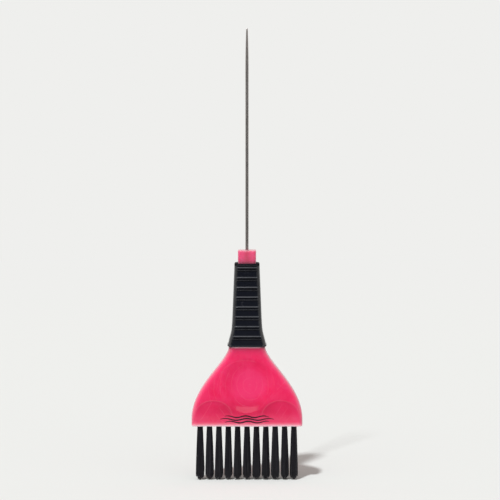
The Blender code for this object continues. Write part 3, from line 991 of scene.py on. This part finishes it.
def filament_paths(rng, root_x, root_y):
    """Centre lines of one tuft's filaments, as (filament, step, xyz), and a tone for each."""
    root = TUFT_ROOT_RADIUS - FILAMENT_RADIUS
    tip = np.array([TUFT_TIP_HALF_WIDTH, TUFT_TIP_HALF_DEPTH]) - FILAMENT_RADIUS
    packed = packed_circle(root, FILAMENT_SPACING)
    packed = packed + rng.uniform(-0.03, 0.03, packed.shape)
    end, gap, owner = filament_ends(rng, packed)
    out = np.linalg.norm(end, axis=1)
    end = squared_off(end, out)
    tip_z = tip_heights(rng, out, gap, owner)
    wave = rng.uniform(0, 2 * math.pi, packed.shape)
    paths = np.zeros((len(packed), FILAMENT_STEPS, 3))
    for step in range(FILAMENT_STEPS):
        # the first point is inside the hole, and the others run from its mouth to the tip
        share = max(step - 1, 0) / (FILAMENT_STEPS - 2)
        z = MOUTH_Z + (tip_z - MOUTH_Z) * share
        if step == 0:
            z = z + FILAMENT_SUNK
        spread = np.clip((MOUTH_Z - z) / (MOUTH_Z - TUFT_FULL_Z), 0.0, 1.0)[:, None] ** 0.8
        place = packed * root * (1 - spread) + end * tip * spread
        place = place + 0.05 * MM * np.sin(wave + share * 5.0) * share * (1 - 0.6 * share)
        limit = root + (tip - root) * spread
        paths[:, step, :2] = np.clip(place, -limit, limit) + (root_x, root_y)
        paths[:, step, 2] = z
    return paths, rng.uniform(0, 1, len(packed))


def filament_mesh(name, paths, tones):
    """Strands along the paths, closed at the root and drawn to a blunt point at the tip."""
    count, steps, _ = paths.shape
    angles = np.arange(FILAMENT_SIDES) / FILAMENT_SIDES * 2 * math.pi
    circle = np.column_stack([np.cos(angles), np.sin(angles), np.zeros(FILAMENT_SIDES)])
    radii = np.full(steps, FILAMENT_RADIUS)
    radii[-1] *= 0.45
    points = paths[:, :, None, :] + circle[None, None, :, :] * radii[None, :, None, None]
    # the paths run downwards, so each strand's faces are turned over to point out
    strand_faces = [tuple(reversed(face)) for face in grid_faces(steps, FILAMENT_SIDES)]
    size = steps * FILAMENT_SIDES
    faces = []
    for strand in range(count):
        faces += [tuple(index + strand * size for index in face) for face in strand_faces]
    obj = mesh_object(name, points.reshape(-1, 3).tolist(), faces)
    smooth(obj, 60)
    set_attribute(obj, "tone", np.repeat(tones, size))
    return obj


def build_tufts(material):
    """Every tuft as loose filaments, whose roots sit in its hole."""
    for (row, column), (x, y) in tuft_places().items():
        rng = np.random.default_rng(100 * (1 + ROWS.index(row)) + column)
        paths, tones = filament_paths(rng, x, y)
        tuft = filament_mesh(f"{row}_filaments_{column:02d}", paths, tones)
        dress(tuft, material)
        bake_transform(tuft)
        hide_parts(f"{row}_tuft_{column:02d}")


# ---------------------------------------------------------------- printed mark


def wave_corners(line, share):
    """Four corners of a printed line's section, at a share of its length, on the head's front face."""
    x = MARK_LENGTH * (1 - 0.18 * abs(line)) * (share - 0.5)
    z = MARK_Z + line * MARK_PITCH + MARK_WAVE * math.sin(share * 2 * math.pi * 2.5 + line * 0.5)
    half_stroke = MARK_STROKE / 2 * math.sin(math.pi * min(max(share, 0.02), 0.98)) ** 0.4
    corners = []
    for side, lift in ((-1, -MARK_FILM), (-1, MARK_FILM), (1, MARK_FILM), (1, -MARK_FILM)):
        edge_z = z + side * half_stroke
        half_depth = float(head_half_depth(edge_z)) - float(face_hollow(x, edge_z))
        corners.append((x, -half_depth - lift, edge_z))
    return corners


def add_wave(shape, line):
    """One printed line as a closed four-sided strip."""
    steps = 90
    rings = []
    for step in range(steps + 1):
        rings.append([shape.verts.new(corner) for corner in wave_corners(line, step / steps)])
    for a, b in zip(rings, rings[1:]):
        for i in range(4):
            j = (i + 1) % 4
            shape.faces.new((a[i], b[i], b[j], a[j]))
    shape.faces.new(rings[0])
    shape.faces.new(list(reversed(rings[-1])))


def build_mark(material):
    """A plain ornament of three waved lines printed on the front band."""
    shape = bmesh.new()
    for line in (-1, 0, 1):
        add_wave(shape, line)
    bmesh.ops.recalc_face_normals(shape, faces=shape.faces)
    mark = bmesh_object("printed_waves", shape)
    dress(mark, material)
    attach(mark, HANDLE)


# ---------------------------------------------------------------- stage

BACKGROUND = rgb(0.863, 0.863, 0.847)
KEY_DIRECTION = Vector((0.285, 0.62, -1.0))
KEY_ENERGY = 2.32
KEY_ANGLE = 4.5
AMBIENT = 0.475
FLOOR_HALF_SIZE = 6.0
FLOOR_Z = -0.05 * MM
CAMERA_LENS = 289
CAMERA_TARGET = Vector((1.5, 0, 115.7)) * MM
CAMERA_ELEVATION = 7.0
CAMERA_DISTANCE = 2.0


def make_floor_paint():
    """Pale matte floor that ends in the colour of the background.

    For reflections it glows: white behind the brush, greyer close round it, and dim in front.
    """
    material, nodes = new_material("floor")
    material.cycles.emission_sampling = "NONE"
    path = nodes.add("ShaderNodeLightPath").outputs
    place = nodes.add("ShaderNodeNewGeometry").outputs["Position"]
    apart = nodes.add("ShaderNodeVectorMath", {0: place}, operation="LENGTH").outputs["Value"]
    depth = nodes.add("ShaderNodeSeparateXYZ", {"Vector": place}).outputs["Y"]
    grain = nodes.noise(nodes.position(), 25.0, detail=2.0)
    paint = nodes.mix(grain, rgb(0.819, 0.821, 0.806), rgb(0.821, 0.823, 0.808))
    matte = nodes.add("ShaderNodeBsdfDiffuse", {"Color": paint}).outputs[0]
    far = nodes.add("ShaderNodeEmission", {"Color": BACKGROUND}).outputs[0]
    fade_out = nodes.math("MULTIPLY", nodes.step(apart, 0.35, 0.9), path["Is Camera Ray"])
    seen = nodes.add("ShaderNodeMixShader", {0: fade_out, 1: matte, 2: far}).outputs[0]
    # a glow that only reflections see
    behind = nodes.step(depth, -0.02, 0.12, 0.06, 0.86)
    beside = nodes.step(apart, 0.04, 0.09, 0.50, 0.0)
    glow = {"Color": rgb(1.0, 1.0, 0.98), "Strength": nodes.math("MAXIMUM", behind, beside)}
    mirrored = nodes.add("ShaderNodeEmission", glow).outputs[0]
    shader = nodes.add("ShaderNodeMixShader", {0: path["Is Glossy Ray"], 1: seen, 2: mirrored}).outputs[0]
    nodes.add("ShaderNodeOutputMaterial", {"Surface": shader})
    return material


def build_floor():
    half = FLOOR_HALF_SIZE
    corners = [(x, y, FLOOR_Z) for x, y in ((-half, -half), (half, -half), (half, half), (-half, half))]
    floor = mesh_object("floor", corners, [(0, 1, 2, 3)])
    dress(floor, make_floor_paint())


def studio_strength(nodes, wide, back, up):
    """The studio that reflections see.

    It is white behind and beside the brush, dim in front, with one panel over the camera.
    """
    side = nodes.step(wide, 0.72, 0.84, 0.0, 0.75)
    behind = nodes.step(back, 0.0, 0.35, 0.0, 0.80)
    around = nodes.math("ADD", nodes.math("MAXIMUM", side, behind), 0.06)
    front = nodes.math("MAXIMUM", nodes.math("MULTIPLY", back, -1.0), 0.001)
    slope_x = nodes.math("DIVIDE", wide, front)
    slope_z = nodes.math("DIVIDE", up, front)
    panel = nodes.step(slope_x, 0.29, 0.33, 1.35, 0.0)
    panel = nodes.math("MULTIPLY", panel, nodes.step(slope_z, 0.25, 0.27))
    panel = nodes.math("MULTIPLY", panel, nodes.step(slope_z, 1.6, 2.2, 1.0, 0.0))
    return nodes.math("ADD", around, panel)


def build_world():
    """Soft warm light from all round, most of it from the front. Reflections see the studio."""
    world = bpy.data.worlds.new("studio")
    bpy.context.scene.world = world
    world.use_nodes = True
    nodes = Nodes(world.node_tree)
    direction = nodes.add("ShaderNodeTexCoord").outputs["Generated"]
    parts = nodes.add("ShaderNodeSeparateXYZ", {"Vector": direction}).outputs
    wide, back, up = nodes.math("ABSOLUTE", parts["X"]), parts["Y"], parts["Z"]
    mirrored = studio_strength(nodes, wide, back, up)
    lean = nodes.math("SUBTRACT", 1.0, nodes.math("MULTIPLY", back, 0.5))
    ambient = nodes.math("MULTIPLY", lean, AMBIENT)
    path = nodes.add("ShaderNodeLightPath").outputs
    glossy = nodes.math("SUBTRACT", mirrored, ambient)
    total = nodes.math("ADD", ambient, nodes.math("MULTIPLY", glossy, path["Is Glossy Ray"]))
    warm = rgb(1.0, 0.94, 0.91)
    light = nodes.add("ShaderNodeBackground", {"Color": warm, "Strength": total}).outputs[0]
    plain = nodes.add("ShaderNodeBackground", {"Color": BACKGROUND, "Strength": 1.0}).outputs[0]
    shader = nodes.add("ShaderNodeMixShader", {0: path["Is Camera Ray"], 1: light, 2: plain}).outputs[0]
    nodes.add("ShaderNodeOutputWorld", {"Surface": shader})


def build_light():
    data = bpy.data.lights.new("key", "SUN")
    data.energy = KEY_ENERGY
    data.angle = math.radians(KEY_ANGLE)
    data.color = (0.95, 1.0, 1.01)
    key = bpy.data.objects.new("key", data)
    key.rotation_euler = KEY_DIRECTION.to_track_quat("-Z", "Y").to_euler()
    bpy.context.scene.collection.objects.link(key)


def build_camera():
    data = bpy.data.cameras.new("camera")
    data.sensor_width = 36
    data.lens = CAMERA_LENS
    camera = bpy.data.objects.new("camera", data)
    elevation = math.radians(CAMERA_ELEVATION)
    away = Vector((0, -math.cos(elevation), math.sin(elevation)))
    camera.location = CAMERA_TARGET + CAMERA_DISTANCE * away
    camera.rotation_euler = (CAMERA_TARGET - camera.location).to_track_quat("-Z", "Y").to_euler()
    bpy.context.scene.collection.objects.link(camera)
    bpy.context.scene.camera = camera


def dress_anchors(material):
    """The anchors keep their CAD shape and only take the wire's look."""
    for name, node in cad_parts.items():
        if "_anchor_" in name:
            dress(node, material)


build_handle(make_pink_plastic())
build_grip(make_rubber())
build_pin(make_pin_steel())
build_tufts(make_nylon())
build_mark(make_ink())
dress_anchors(make_anchor_wire())

build_floor()
build_world()
build_light()
build_camera()
bpy.context.scene.view_settings.view_transform = "Standard"
